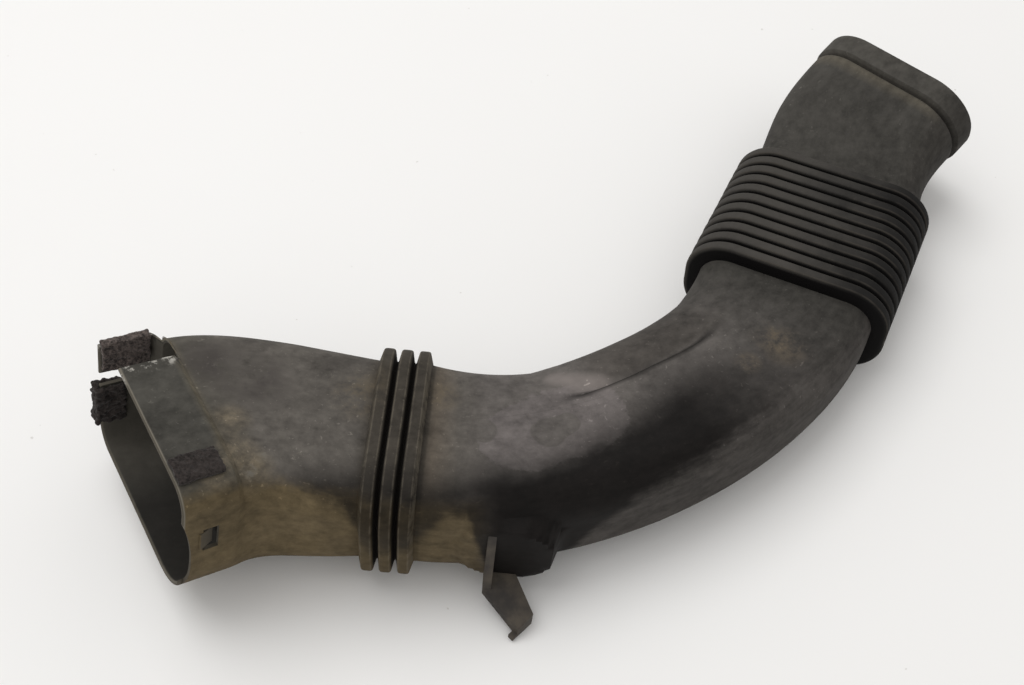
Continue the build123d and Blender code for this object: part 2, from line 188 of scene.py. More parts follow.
# %% Ribs
COLLAR = section(109, 79, 12, 26)
NECK = section(102, 71.5, 18)
PIPE = section(87, 64, 20)
BELLOWS_PIPE = section(94, 42.5, 16)
LIP = section(100, 57, 27)
RING_RISE, GROOVE, BELLOWS_RISE = 6.4, 5.5, 8.5
RINGS_HALF, BELLOWS_HALF = 12.75, 43.25
RING_COUNT, RING_PITCH, RING_WEAR = 3, 8.5, 0.3
CREST_COUNT, CREST_PITCH, CREST_WEAR = 11, 7.95, 0.35
CREST_FLAT = 4.6
WORN_EDGE = [(0.25, -2.2), (0, -0.9), (-0.5, -0.25), (-1.2, 0)]  # distance past the edge, drop per wear
GROOVE_BED = [(-0.6, 0.7), (0, 0), (0.6, 0.7)]  # distance from its middle, rise
GROOVE_WALL = 1.5 * WALL


def ribs(count, pitch, deep, worn):
    """Outside of the crests and grooves: distance from the middle, offset from the crest."""
    half = CREST_FLAT / 2
    crest = [(-half - past, drop * worn) for past, drop in WORN_EDGE]
    crest += [(half + past, drop * worn) for past, drop in reversed(WORN_EDGE)]
    groove = [(pitch / 2 + past, rise - deep) for past, rise in GROOVE_BED]
    points = []
    for i in range(count):
        middle = (i - (count - 1) / 2) * pitch
        points += [(middle + z, offset) for z, offset in crest + groove * (i < count - 1)]
    return points


def zigzag(count, pitch, deep):
    """Lining of the crests and grooves."""
    points = []
    for i in range(count):
        middle = (i - (count - 1) / 2) * pitch
        points += [(middle, -WALL), (middle + pitch / 2, -deep - GROOVE_WALL)]
    return points[:-1]


def flex_rings(lining):
    if lining:
        profile = zigzag(RING_COUNT, RING_PITCH, RING_RISE)
    else:
        profile = ribs(RING_COUNT, RING_PITCH, RING_RISE, RING_WEAR)
    return banded(RINGS, grown(PIPE, RING_RISE), profile, RING_RISE, lining)


def bellows(lining):
    low, inner_end = -BELLOWS_RISE - WALL * lining, BELLOWS_HALF - WALL
    if lining:
        profile = [(-inner_end, low)] + zigzag(CREST_COUNT, CREST_PITCH, GROOVE) + [(inner_end, low)]
    else:
        profile = ribs(CREST_COUNT, CREST_PITCH, GROOVE, CREST_WEAR)
    profile = [(-BELLOWS_HALF, low)] + profile + [(BELLOWS_HALF, low)]
    return banded(BELLOWS, grown(BELLOWS_PIPE, BELLOWS_RISE), profile, GROOVE, lining)


print(len(flex_rings(0)), "loops on the rings,", len(bellows(0)), "on the bellows")


# %% [markdown]
# The inlet collar is a straight sleeve with a shoulder down to the neck, and the outlet ends in a lip behind
# a groove. Rims of a trimmed blow moulding are thin and slightly rounded, so each gets three loops.

# %% Collars and neck
COLLAR_LENGTH, STEP_LENGTH, NECK_SHIFT = 25, 3.6, -2
LIP_LENGTH, LIP_STANDS = 17, 1.2
SLEEVE_LOOPS = [1.4, *range(3, COLLAR_LENGTH, 2), COLLAR_LENGTH - 0.3]  # millimetres from the mouth
STEP_LOOPS = 0.04, 0.15, 0.5, 0.85, 0.96  # shares of the step
RIM = [(0, -1.0), (0.1, -0.5), (0.6, -0.05)]
INNER_RIM = [(0, -1.0), (0.1, -1.5), (0.6, -1.95)]
LIP_GROOVE = [(-16.4, -1.5), (-15.5, -3.0), (-14.8, -3.4), (-13.8, -2.6), (-13.2, -0.7), (-12.6, -0.1)]
LIP_SKIN = [(-9, 0), (-5, 0), (-1, 0), (-0.4, -0.15), (-0.05, -0.8), (0, -2.7)]
LIP_LINING_IN, LIP_LINING_OUT = [(-15, -5.4)], [(-8, -5.4), (-0.7, -5.35), (-0.1, -4.6)]
# Depth in a groove sets how dark its painted shade is.
SHADED_GROOVE_DEPTH, FAINT_SHADE_DEPTH = 8, 100  # a smaller one makes a groove count as deeper, and so darker
NECK_LOOPS = OUTLET_LOOPS = 24
NECK_LEADS, OUTLET_LEADS = (22, 34), (32, 38)
NECK_AT = along(MOUTH, COLLAR_LENGTH + STEP_LENGTH, NECK_SHIFT)
RINGS_IN, RINGS_OUT = along(RINGS, -RINGS_HALF), along(RINGS, RINGS_HALF)
BELLOWS_IN, BELLOWS_OUT = along(BELLOWS, -BELLOWS_HALF), along(BELLOWS, BELLOWS_HALF)
OUTLET_AT = along(OUTLET, -LIP_LENGTH)


def inlet(lining):
    """Collar and shoulder; the lining's loops come back to the mouth's rim from inside."""
    skin = -WALL * lining
    rim = INNER_RIM if lining else RIM
    made = [loop(along(MOUTH, z), grown(COLLAR, offset), lining=lining, edge=1) for z, offset in rim]
    for z in SLEEVE_LOOPS:
        made.append(loop(along(MOUTH, z), grown(COLLAR, skin), lining=lining))
    for share in STEP_LOOPS:
        size = grown(COLLAR * (1 - share) + NECK * share, skin)
        place = along(MOUTH, COLLAR_LENGTH + STEP_LENGTH * share, NECK_SHIFT * share)
        made.append(loop(place, size, lining=lining))
    return made


def neck(lining):
    def shape(share):
        return grown(NECK * (1 - share) + PIPE * share, -WALL * lining), 0
    return swept(NECK_AT, RINGS_IN, NECK_LEADS, shape, NECK_LOOPS, lining)


def outlet(lining):
    def shape(share):
        size = BELLOWS_PIPE * (1 - share) + grown(LIP, -LIP_STANDS) * share
        return grown(size, -WALL * lining), 0
    made = swept(BELLOWS_OUT, OUTLET_AT, OUTLET_LEADS, shape, OUTLET_LOOPS, lining)
    made += banded(OUTLET, LIP, LIP_LINING_IN if lining else LIP_GROOVE, SHADED_GROOVE_DEPTH, lining)
    return made + banded(OUTLET, LIP, LIP_LINING_OUT if lining else LIP_SKIN, FAINT_SHADE_DEPTH, lining)


print(len(inlet(0)), "loops on the collar,", len(neck(0)), "on the neck,", len(outlet(0)), "on the outlet")


# %% [markdown]
# Inside the bend the upper left corner opens to a flank and closes up again before the bellows. Its fold runs
# along the mould's parting line, keeps a steady distance from the inner wall, and dies out at both ends.

# %% Bend
FLANK_GROWTH, BEND_SWELL, FLANK_SINK = 25.6, 2, 3
FLANK_REACH = [0.0, 0.35, 0.55, 0.7, 0.84, 1.0], [0, 0, 1.5, 5, 6, 0]  # shares of the way, mm
FOLD_DEPTH, FOLD_FADES = 3.2, 0.3
FOLD_BEGINS, FOLD_ENDS, FOLD_FADING = (0.24, 0.44), (0.84, 0.66), (0.4, 0.8)
BEND_LOOPS, BEND_LINING_LOOPS, BEND_LEADS = 92, 36, (68, 62)


def eased(value, low, high):
    share = min(max((value - low) / (high - low), 0), 1)
    return share * share * (3 - 2 * share)


def bend(lining):
    def shape(share):
        bulge = sin(pi * share)
        size = PIPE * (1 - share) + BELLOWS_PIPE * share
        flank = min(size[2] + FLANK_GROWTH * bulge, size[1] - size[2] - 1)
        size[0] += BEND_SWELL * bulge
        size[2] = flank + np.interp(share, *FLANK_REACH)
        size[3] = flank - FLANK_SINK * bulge ** 2
        fold = FOLD_DEPTH * eased(share, *FOLD_BEGINS) * eased(share, *FOLD_ENDS)
        fold *= 1 - FOLD_FADES * eased(share, *FOLD_FADING)
        return grown(size, -WALL * lining), fold
    count = BEND_LINING_LOOPS if lining else BEND_LOOPS
    return swept(RINGS_OUT, BELLOWS_IN, BEND_LEADS, shape, count, lining)


lengths = {"inlet_duct_body": [inlet, neck, flex_rings, bend], "bellows_body": [bellows],
           "outlet_duct_body": [outlet]}
outside = {name: sum([make(0) for make in stretch], []) for name, stretch in lengths.items()}
inside = {name: sum([make(1) for make in stretch], []) for name, stretch in lengths.items()}
print({name: (len(outside[name]), len(inside[name])) for name in lengths}, "loops outside and inside")


# %% [markdown]
# The bracket is welded to a pad that was blown out with the duct. It could be a block joined on, but on the
# moulding it grows out of the wall with soft edges, so the wall's own points are raised to the pad's face.

# %% Weld pad
PAD_AT = np.array([-31.68, -153.79, 32.86])
PAD_ALONG = axes(RINGS[1])[2]
PAD_OUT = -axes(RINGS[1])[0]
PAD_UP = np.cross(PAD_OUT, PAD_ALONG)
PAD_HALVES = np.array([22, 20])
PAD_CORNER, PAD_DRAFT, PAD_REACH = 16, 15, 14
PAD_ROUND, PAD_EDGE = 0.35, 2


def raise_pad(points):
    """Lifts the points under the pad to its face, and those round it to its drafted sides."""
    local = (points - PAD_AT) @ np.column_stack([PAD_ALONG, PAD_UP, PAD_OUT])
    beyond = np.abs(local[:, :2]) - (PAD_HALVES - PAD_CORNER)
    past = np.linalg.norm(np.maximum(beyond, 0), axis=1) + np.minimum(beyond.max(axis=1), 0) - PAD_CORNER
    face = -np.maximum(past, 0) / tan(radians(PAD_DRAFT)) - PAD_ROUND * np.clip(past / PAD_EDGE + 1, 0, 1)
    lift = np.where(local[:, 2] > -PAD_REACH, np.maximum(face - local[:, 2], 0), 0)
    return points + lift[:, None] * PAD_OUT, int((lift > 0).sum())


raised = 0
for each in outside["inlet_duct_body"]:
    each["places"], count = raise_pad(each["places"])
    raised += count
print(raised, "points raised to the weld pad")


# %% [markdown]
# By hand, a tube like this starts as a circle that is extruded again and again, and each new loop is then
# moved and scaled into its place. The circle is extruded straight up here, one unit a loop, so that a point's
# height tells its loop and its angle tells its place round the section. The last loop closes on the first.

# %% Tube
def deselect():
    bpy.ops.object.select_all(action="DESELECT")


def extruded_tube(name, count):
    deselect()
    bpy.ops.mesh.primitive_circle_add(vertices=AROUND, radius=1, fill_type="NOTHING")
    tube = bpy.context.object
    tube.name = name
    bpy.ops.object.mode_set(mode="EDIT")
    bpy.ops.mesh.select_all(action="SELECT")
    for _ in range(count - 1):
        bpy.ops.mesh.extrude_region_move(TRANSFORM_OT_translate={"value": (0, 0, 1)})
    bpy.ops.object.mode_set(mode="OBJECT")
    return tube


def places_of(piece):
    flat = np.empty(len(piece.data.vertices) * 3)
    piece.data.vertices.foreach_get("co", flat)
    return flat.reshape(-1, 3)


def keep(piece, name, values, domain="POINT"):
    """Keeps one number for each point or face, for the finish to read."""
    kept = piece.data.attributes.get(name) or piece.data.attributes.new(name, "FLOAT", domain)
    kept.data.foreach_set("value", np.asarray(values, np.float32))


# %% [markdown]
# Each point is laid on its section. Nothing that is blown and then lives in an engine bay stays true, so the
# outside also gets a slow wave of a third of a millimetre. The finish's numbers are kept with the points.

# %% Laying a tube on its sections
WAVE, WAVE_SIZE = 0.3, 38.0
SAME_POINT = 0.00002


def measured(loops, start):
    """Gives each loop its distance from the mouth along the path."""
    centres = [each["centre"] for each in loops]
    steps = [np.linalg.norm(b - a) for a, b in zip(centres, centres[1:])]
    for each, run in zip(loops, np.append(0, np.cumsum(steps)) + start):
        each["travelled"] = run
    return loops[-1]["travelled"]


def laid_tube(name, loops):
    tube = extruded_tube(name, len(loops))
    unit = places_of(tube)
    level = np.rint(unit[:, 2]).astype(int)
    place = np.rint(np.arctan2(unit[:, 1], unit[:, 0]) / (2 * pi / AROUND)).astype(int) % AROUND
    laid = np.array([each["places"] for each in loops])[level, place]
    wave = np.array([noise.noise(Vector(p / WAVE_SIZE)) for p in laid])
    skin = np.array([each["edge"] + each["lining"] == 0 for each in loops])[level]
    leans = laid - np.array([each["centre"] for each in loops])[level]
    leans /= np.linalg.norm(leans, axis=1)[:, None]
    laid -= leans * (WAVE * np.abs(wave) * skin)[:, None]
    tube.data.vertices.foreach_set("co", (laid * MM).ravel())
    for number in ("leftness", "upness", "crease"):
        keep(tube, number, np.array([each[number] for each in loops])[level, place])
    for number in ("travelled", "depth", "lining", "edge"):
        keep(tube, number, np.array([each[number] for each in loops], float)[level])
    bpy.ops.object.mode_set(mode="EDIT")
    bpy.ops.mesh.select_all(action="SELECT")
    bpy.ops.mesh.remove_doubles(threshold=SAME_POINT)
    bpy.ops.mesh.normals_make_consistent(inside=False)
    bpy.ops.object.mode_set(mode="OBJECT")
    return tube


run = 0.0
tubes = {}
for name in lengths:
    measured(inside[name], run)
    run = measured(outside[name], run)
    tubes[name] = laid_tube(name, outside[name] + inside[name][::-1] + outside[name][:1])
LENGTH = float(run)
print("the path is", round(LENGTH), "mm long;", {n: len(t.data.polygons) for n, t in tubes.items()}, "faces")


# %% [markdown]
# What is cut out of the collar or added to it is placed in the mouth's own frame: left, up and ahead. A block
# there is a cube that gets its size, place and turn when it is added. Subdivided and jittered, it cuts a torn
# edge. A Boolean modifier takes it out of the wall.

# %% Blocks in the mouth's frame
LEFT, UP, AHEAD = axes(MOUTH[1])
MOUTH_AXES = np.column_stack([LEFT, UP, AHEAD])
MOUTH_FRAME = Matrix(MOUTH_AXES.tolist())
HALF_WIDTH, HALF_HEIGHT = COLLAR[:2] / 2


def collar_block(low, high):
    """Cube in the mouth's frame: left, up and ahead, from a low corner to a high one."""
    low, high = np.array(low, float), np.array(high, float)
    middle = MOUTH[0] + MOUTH_AXES @ ((low + high) / 2)
    deselect()
    bpy.ops.mesh.primitive_cube_add(size=1, location=middle * MM, rotation=MOUTH_FRAME.to_euler(),
                                    scale=(high - low) * MM)
    bpy.ops.object.transform_apply(location=True, rotation=True, scale=True)
    return bpy.context.object


def torn(block, cuts, jitter, seed):
    bpy.ops.object.mode_set(mode="EDIT")
    bpy.ops.mesh.select_all(action="SELECT")
    bpy.ops.mesh.subdivide(number_cuts=cuts)
    bpy.ops.transform.vertex_random(offset=jitter * MM, uniform=1, seed=seed)
    bpy.ops.object.mode_set(mode="OBJECT")
    return block


def joined(pieces):
    deselect()
    for piece in pieces:
        piece.select_set(True)
    bpy.context.view_layer.objects.active = pieces[0]
    bpy.ops.object.join()
    return bpy.context.object


def cut_by(piece, cutter):
    """Takes the cutter's shape out of the piece."""
    deselect()
    piece.select_set(True)
    bpy.context.view_layer.objects.active = piece
    cut = piece.modifiers.new("cut", "BOOLEAN")
    cut.operation, cut.solver, cut.object = "DIFFERENCE", "EXACT", cutter
    bpy.ops.object.modifier_apply(modifier=cut.name)
    bpy.data.objects.remove(cutter)


print("the mouth is", *COLLAR[:2], "mm")


# %% [markdown]
# The collar's left top corner has broken away, a slot is open to the mouth beside it, the near wall has a
# snap window, and the trimmed edge of that wall is scalloped. The break and the slot are torn, and the window
# is clean. The scallop is an arc, so its cutter is a flat disc in place of a block.

# %% Cuts in the collar
BREAK = (24.5, 25.5, -2), (56.5, 41.5, 28.2)
SLOT = (50.5, -1.3, -2), (56.5, 7.7, 20)
WINDOW = (-56.5, 0, 9.5), (-50.5, 15, 16.5)
SCALLOP_WIDTH, SCALLOP_DEPTH, SCALLOP_UP = 58, 4.5, -6


def scallop(width, deep, up):
    """Flat disc whose edge bites into the near wall's rim."""
    radius = ((width / 2) ** 2 + deep ** 2) / (2 * deep)
    middle = MOUTH[0] + LEFT * (WALL / 2 - HALF_WIDTH) + UP * up + AHEAD * (deep - radius)
    turn = (MOUTH_FRAME @ Matrix.Rotation(pi / 2, 3, "Y")).to_euler()
    deselect()
    bpy.ops.mesh.primitive_cylinder_add(vertices=256, radius=radius * MM, depth=3 * WALL * MM,
                                        location=middle * MM, rotation=turn)
    bpy.ops.object.transform_apply(location=True, rotation=True, scale=True)
    return bpy.context.object


inlet_body = tubes["inlet_duct_body"]
cuts = [torn(collar_block(*BREAK), cuts=14, jitter=0.35, seed=3),
        torn(collar_block(*SLOT), cuts=5, jitter=0.15, seed=5), collar_block(*WINDOW),
        scallop(SCALLOP_WIDTH, SCALLOP_DEPTH, SCALLOP_UP)]
cut_by(inlet_body, joined(cuts))
print("after the cuts", len(inlet_body.data.polygons), "faces")


# %% [markdown]
# A small tongue leans in from the window's edge; the scoop's catch snaps behind it. It is a block with its
# edges bevelled, turned about its root, and joined to the duct because it was moulded with it.

# %% Snap tongue
TONGUE = (-0.6, -5.5, -2), (0.6, 5.5, 5.5)
TONGUE_ROOT, TONGUE_LEAN, TONGUE_EDGE = (0.4, 7.5, 9.5), 25, 0.3


def snap_tongue():
    tongue = collar_block(*TONGUE)
    across, up, ahead = TONGUE_ROOT
    root = MOUTH[0] + LEFT * (across - HALF_WIDTH) + UP * up + AHEAD * ahead
    turn = Matrix.Rotation(radians(TONGUE_LEAN), 3, Vector(UP))
    for vertex in tongue.data.vertices:
        arm = vertex.co - Vector(MOUTH[0] * MM)
        vertex.co = Vector(root * MM) + turn @ arm
    bevel = tongue.modifiers.new("edge", "BEVEL")
    bevel.width, bevel.segments = TONGUE_EDGE * MM, 2
    bpy.ops.object.modifier_apply(modifier=bevel.name)
    return tongue


inlet_body = tubes["inlet_duct_body"] = joined([inlet_body, snap_tongue()])
inlet_body.name = "inlet_duct_body"
print("inlet length with its tongue:", len(inlet_body.data.polygons), "faces")


# %% [markdown]
# The Boolean gave the collar new points that know nothing of their place. Their numbers are worked out again
# from the mouth's frame, and each face that lies within the wall's thickness is marked as broken or trimmed.

# %% Numbers on the cut collar
RIM_DEPTH = 0.7
IN_THE_WALL = 0.25, 1.75
LINING_FROM, LINING_OVER = 0.6, 0.8
ROUND_THE_BREAK = 24, 25, 28.5


def inset(local):
    """How far under the collar's outside a point lies, in millimetres."""
    corner = np.where((local[:, 0] < 0) & (local[:, 1] < 0), COLLAR[5], COLLAR[4])
    beyond = np.abs(local[:, :2]) - (COLLAR[:2] / 2 - corner[:, None])
    return corner - np.linalg.norm(np.maximum(beyond, 0), axis=1) - np.minimum(beyond.max(axis=1), 0)


def renumber_collar(piece):
    local = (places_of(piece) / MM - MOUTH[0]) @ MOUTH_AXES
    collar = local[:, 2] < COLLAR_LENGTH - 0.2
    fresh = {"leftness": local[:, 0] / HALF_WIDTH, "upness": local[:, 1] / HALF_HEIGHT,
             "travelled": local[:, 2], "lining": np.clip((inset(local) - LINING_FROM) / LINING_OVER, 0, 1),
             "edge": local[:, 2] < RIM_DEPTH, "depth": 0 * local[:, 2]}
    for name, values in fresh.items():
        old = np.empty(len(local), np.float32)
        piece.data.attributes[name].data.foreach_get("value", old)
        keep(piece, name, np.where(collar, values, old))
    middles = np.array([face.center for face in piece.data.polygons]) / MM
    middles = (middles - MOUTH[0]) @ MOUTH_AXES
    under = inset(middles)
    left, up, ahead = ROUND_THE_BREAK
    in_break = (middles[:, 0] > left) & (middles[:, 1] > up) & (middles[:, 2] < ahead)
    in_wall = (under > IN_THE_WALL[0]) & (under < IN_THE_WALL[1])
    broken = in_wall & ((middles[:, 2] < COLLAR_LENGTH - 0.4) | in_break)
    keep(piece, "broken", broken, "FACE")
    return int(broken.sum())


print(renumber_collar(inlet_body), "faces of the collar are broken or trimmed edges")


# %% [markdown]
# The three lengths are one moulding, hard at both ends and soft in the bellows. Each stands for its CAD
# solids and takes its own plastic.

# %% Three lengths of the duct
SMOOTH_UNDER = 38
STANDS_FOR = {"inlet_duct_body": (["inlet_duct", "bend_front", "bend_back"], "duct_plastic"),
              "bellows_body": (["bellows_front", "bellows_back"], "bellows_plastic"),
              "outlet_duct_body": (["outlet_duct"], "duct_plastic")}
for name, (nodes, slot) in STANDS_FOR.items():
    deselect()
    tubes[name].select_set(True)
    bpy.context.view_layer.objects.active = tubes[name]
    bpy.ops.object.shade_smooth_by_angle(angle=radians(SMOOTH_UNDER))
    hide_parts(*nodes)
    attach(tubes[name], "root")
    print(name, "has", sum(len(p.vertices) - 2 for p in tubes[name].data.polygons), "triangles")


# %% [markdown]
# The bracket is a small injection moulding: an arm with a gusset, a flange and a turned-down tip. Its CAD
# solid has the right shape, but no moulding has knife edges. A copy is merged, its flat faces are joined up
# again, and a bevel rounds every edge.

# %% Bracket
CAD_POINT, FLAT_UNDER = 0.00001, 1
SHARP_OVER, ROUND_UNDER = 20, 40
BRACKET_EDGE = 0.45


def bevelled_copy(node, name, width):
    deselect()
    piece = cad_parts[node].copy()
    piece.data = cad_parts[node].data.copy()
    for key in list(piece.keys()):
        del piece[key]
    piece.parent = None
    piece.name = name
    bpy.context.scene.collection.objects.link(piece)
    piece.select_set(True)
    bpy.context.view_layer.objects.active = piece
    bpy.ops.object.mode_set(mode="EDIT")
    bpy.ops.mesh.select_all(action="SELECT")
    bpy.ops.mesh.remove_doubles(threshold=CAD_POINT)
    bpy.ops.mesh.dissolve_limited(angle_limit=radians(FLAT_UNDER))
    bpy.ops.object.mode_set(mode="OBJECT")
    bevel = piece.modifiers.new("edges", "BEVEL")
    bevel.width, bevel.segments = width * MM, 3
    bevel.limit_method, bevel.angle_limit = "ANGLE", radians(SHARP_OVER)
    bpy.ops.object.modifier_apply(modifier=bevel.name)
    bpy.ops.object.shade_smooth_by_angle(angle=radians(ROUND_UNDER))
    return piece


bracket = bevelled_copy("bracket", "bracket_arm", BRACKET_EDGE)
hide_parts("bracket")
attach(bracket, "root")
print("bracket has", len(bracket.data.polygons), "faces")


# %% [markdown]
# Three strips of black needled felt keep the scoop from rattling. Felt has no edges: it is a mat of fibres
# that frays and clumps. Each strip starts as its CAD solid, is remeshed to small even cells, smoothed until
# it is a pad, and then roughened with two sizes of cloud texture. The one on the mouth's edge has been rubbed
# to a ragged clump, so it is smoothed and roughened most.

# %% Felt pads
FELT_EDGE, FELT_CELL = 0.5, 0.4
CLUMP, TUFT, TUFT_ROUGH = 3.6, 1.3, 0.5


def roughen(piece, size, strength, depth):
    """Pushes the surface in and out by a cloud texture."""
    clouds = bpy.data.textures.new(piece.name + "_clouds", "CLOUDS")
    clouds.noise_scale, clouds.noise_depth = size * MM, depth
    push = piece.modifiers.new("rough", "DISPLACE")
    push.texture, push.texture_coords = clouds, "LOCAL"
    push.strength, push.mid_level = strength * MM, 0.55
    bpy.ops.object.modifier_apply(modifier=push.name)


def felt_pad(node, name, soft, ragged, faded):
    """Pad for a CAD solid: smoothed so many times, roughened by millimetres, and faded by a share."""
    pad = bevelled_copy(node, name, FELT_EDGE)
    for kind, settings in (("REMESH", {"mode": "VOXEL", "voxel_size": FELT_CELL * MM}),
                           ("SMOOTH", {"factor": 0.5, "iterations": soft})):
        modifier = pad.modifiers.new("soft", kind)
        for key, value in settings.items():
            setattr(modifier, key, value)
        bpy.ops.object.modifier_apply(modifier=modifier.name)
    roughen(pad, CLUMP, ragged, 1)
    roughen(pad, TUFT, TUFT_ROUGH, 2)
    bpy.ops.object.shade_smooth()
    keep(pad, "faded", np.full(len(pad.data.vertices), faded))
    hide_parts(node)
    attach(pad, "root")
    print(name, len(pad.data.polygons), "faces")
    return pad


pads = [felt_pad("shoulder_felt", "shoulder_felt_pad", soft=12, ragged=1.4, faded=0.08),
        felt_pad("edge_felt", "edge_felt_pad", soft=8, ragged=1.6, faded=1.0),
        felt_pad("corner_felt", "corner_felt_pad", soft=16, ragged=3.2, faded=0.1)]


# %% [markdown]
# The finishes are sums of masks, so the shader maths is written as plain Python. A Value wraps one socket,
# and adding or multiplying Values adds Math nodes.

# %% Shader values
class Value:
    """One output of a node; sums and products of Values become Math nodes."""

    def __init__(self, finish, socket):
        self.finish = finish
        self.socket = socket

    def maths(self, operation, first, second):
        return self.finish.node("Math", {"operation": operation}, {0: first, 1: second})

    def __add__(self, other):
        return self.maths("ADD", self, other)

    def __sub__(self, other):
        return self.maths("SUBTRACT", self, other)

    def __rsub__(self, other):
        return self.maths("SUBTRACT", other, self)

    def __mul__(self, other):
        return self.maths("MULTIPLY", self, other)

    def __truediv__(self, other):
        return self.maths("DIVIDE", self, other)

    __radd__ = __add__
    __rmul__ = __mul__


# %% [markdown]
# A Finish is a material and its nodes. Any node comes from one method: its type, its settings, which are set
# first, and what goes into its sockets, a Value or a plain number or colour.

# %% Finishes
class Finish:
    """A material and its nodes."""

    def __init__(self, name, specular):
        self.material = bpy.data.materials.new(name)
        self.material.use_nodes = True
        self.tree = self.material.node_tree
        self.shader = self.tree.nodes["Principled BSDF"]
        self.shader.inputs["Specular IOR Level"].default_value = specular

    def node(self, kind, settings=None, sockets=None, output=0):
        made = self.tree.nodes.new("ShaderNode" + kind)
        for name, value in (settings or {}).items():
            if name == "stops":
                self.set_stops(made.color_ramp.elements, value)
            else:
                setattr(made, name, value)
        for name, value in (sockets or {}).items():
            self.feed(made.inputs[name], value)
        return Value(self, made.outputs[output])

    def set_stops(self, elements, stops):
        for i, (at, colour) in enumerate(stops):
            element = elements[i] if i < len(elements) else elements.new(at)
            element.position, element.color = at, (*colour, 1)

    def feed(self, socket, value):
        if isinstance(value, Value):
            self.tree.links.new(value.socket, socket)
        elif socket.type == "RGBA":
            socket.default_value = (*value, 1)
        else:
            socket.default_value = value

    def set(self, name, value):
        self.feed(self.shader.inputs[name], value)

    def cover(self, piece):
        piece.data.materials.clear()
        piece.data.materials.append(self.material)


# %% [markdown]
# A few words for what a painter does: a soft step from bare to covered, clouds at a given size, a number that
# was kept with the points, one colour laid over another through a mask, and a round spot.

# %% Painter's words
LUMP_SCALE = 500  # noise scale that makes lumps of about a millimetre
CORE = 0.2  # share of a spot's radius that it covers fully


def step(finish, value, bare, covered):
    return finish.node("MapRange", {"interpolation_type": "SMOOTHSTEP"},
                       {0: value, 1: bare, 2: covered, 3: 0.0, 4: 1.0})


def clouds(finish, size, detail=4.0, rough=0.55, at=None, warp=0.0):
    """Noise whose lumps are about that many millimetres across."""
    where = at or finish.node("TexCoord", output="Object")
    return finish.node("TexNoise", None, {"Vector": where, "Scale": LUMP_SCALE / size, "Detail": detail,
                                          "Roughness": rough, "Distortion": warp})


def kept(finish, name):
    return finish.node("Attribute", {"attribute_name": name}, output="Fac")


def over(finish, under, colour, mask):
    return finish.node("Mix", {"data_type": "RGBA"}, {0: mask, 6: under, 7: colour}, output=2)


def shaded(finish, colour, value):
    """The colour times a number."""
    grey = finish.node("CombineColor", None, {0: value, 1: value, 2: value})
    return finish.node("Mix", {"data_type": "RGBA", "blend_type": "MULTIPLY"},
                       {0: 1.0, 6: colour, 7: grey}, output=2)


def spot(finish, where, at, radius):
    """1 in the middle of a round place, 0 at its radius, in millimetres."""
    gap = finish.node("VectorMath", {"operation": "DISTANCE"}, {0: where, 1: tuple(v * MM for v in at)},
                      output="Value")
    return step(finish, gap, radius * MM, radius * MM * CORE)


def spots(finish, where, places):
    """Several spots as one mask."""
    total = 0.0
    for *at, radius in places:
        total = total + spot(finish, where, at, radius)
    return total


def follows(finish, value, reach, points):
    """A number that follows points of (place, height) as the value runs from 0 to its reach."""
    stops = [(at / reach, (height, height, height)) for at, height in points]
    return finish.node("ValToRGB", {"stops": stops}, {0: value / reach})


def bump(finish, height, strength, depth):
    return finish.node("Bump", None, {"Strength": strength, "Distance": depth * MM, "Height": height})


# %% [markdown]
# The duct is charcoal polypropylene under years of road dust. Its tone changes along the path, so a colour
# ramp reads the distance from the mouth, in millimetres. A second number counts the way over the top and down
# the near wall, from -1 at the left corner through 1 at the right corner to 3 at the bottom. It carries what
# runs along the duct.

# %% Tone of the duct plastic
DRAWN_OUT, ACROSS_TOP, ACROSS_SIDE = 0.0006, 0.045, 0.03  # the streaks' noise is drawn out along the path
plastic = Finish("duct_plastic_worn", 0.09)
where = plastic.node("TexCoord", output="Object")
path = kept(plastic, "travelled")
leftness, upness = kept(plastic, "leftness"), kept(plastic, "upness")
depth, lining, edge = kept(plastic, "depth"), kept(plastic, "lining"), kept(plastic, "edge")
over_top = 1 - upness - leftness
broad = clouds(plastic, 55, 3)
blotch = clouds(plastic, 20, 5, 0.6, warp=0.4)
grain = clouds(plastic, 2.6, 6, 0.7)
along_duct = plastic.node("CombineXYZ", None, {0: path * DRAWN_OUT, 1: over_top * ACROSS_TOP,
                                               2: leftness * ACROSS_SIDE})
streaks = clouds(plastic, 3.2, 4, 0.6, at=along_duct)
COLLAR_GREY, PACKED_DUST_AND_HIGHLIGHT, NECK_SHADE = (0.057, 0.054, 0.047), (0.112, 0.098, 0.073), (0.074, 0.068, 0.058)
NECK_DUST, RING_GREY, RING_DUST = (0.096, 0.087, 0.077), (0.064, 0.056, 0.046), (0.108, 0.090, 0.071)
BEND_DUST, BEND_GREY, END_GREY = (0.104, 0.094, 0.087), (0.088, 0.080, 0.074), (0.050, 0.047, 0.042)
LIP_DUST, LIP_GREY = (0.088, 0.078, 0.061), (0.064, 0.060, 0.053)
# The stop at 27 mm is packed dust on the collar's step with a painted highlight along it.
TONES = [(0, COLLAR_GREY), (24, COLLAR_GREY), (27, PACKED_DUST_AND_HIGHLIGHT), (31, NECK_SHADE), (50, NECK_DUST),
         (105, NECK_DUST), (110, RING_GREY), (136, RING_GREY), (138, RING_DUST), (150, NECK_DUST),
         (165, BEND_DUST), (230, BEND_DUST), (255, BEND_GREY), (290, BEND_GREY), (350, END_GREY),
         (LENGTH - 25, END_GREY), (LENGTH - 18, LIP_DUST), (LENGTH - 13, LIP_GREY), (LENGTH, LIP_GREY)]
stops = [(at / LENGTH, colour) for at, colour in TONES]
tone = plastic.node("ValToRGB", {"stops": stops}, {0: path / LENGTH})
print("the tone has", len(TONES), "stops over", round(LENGTH), "mm")
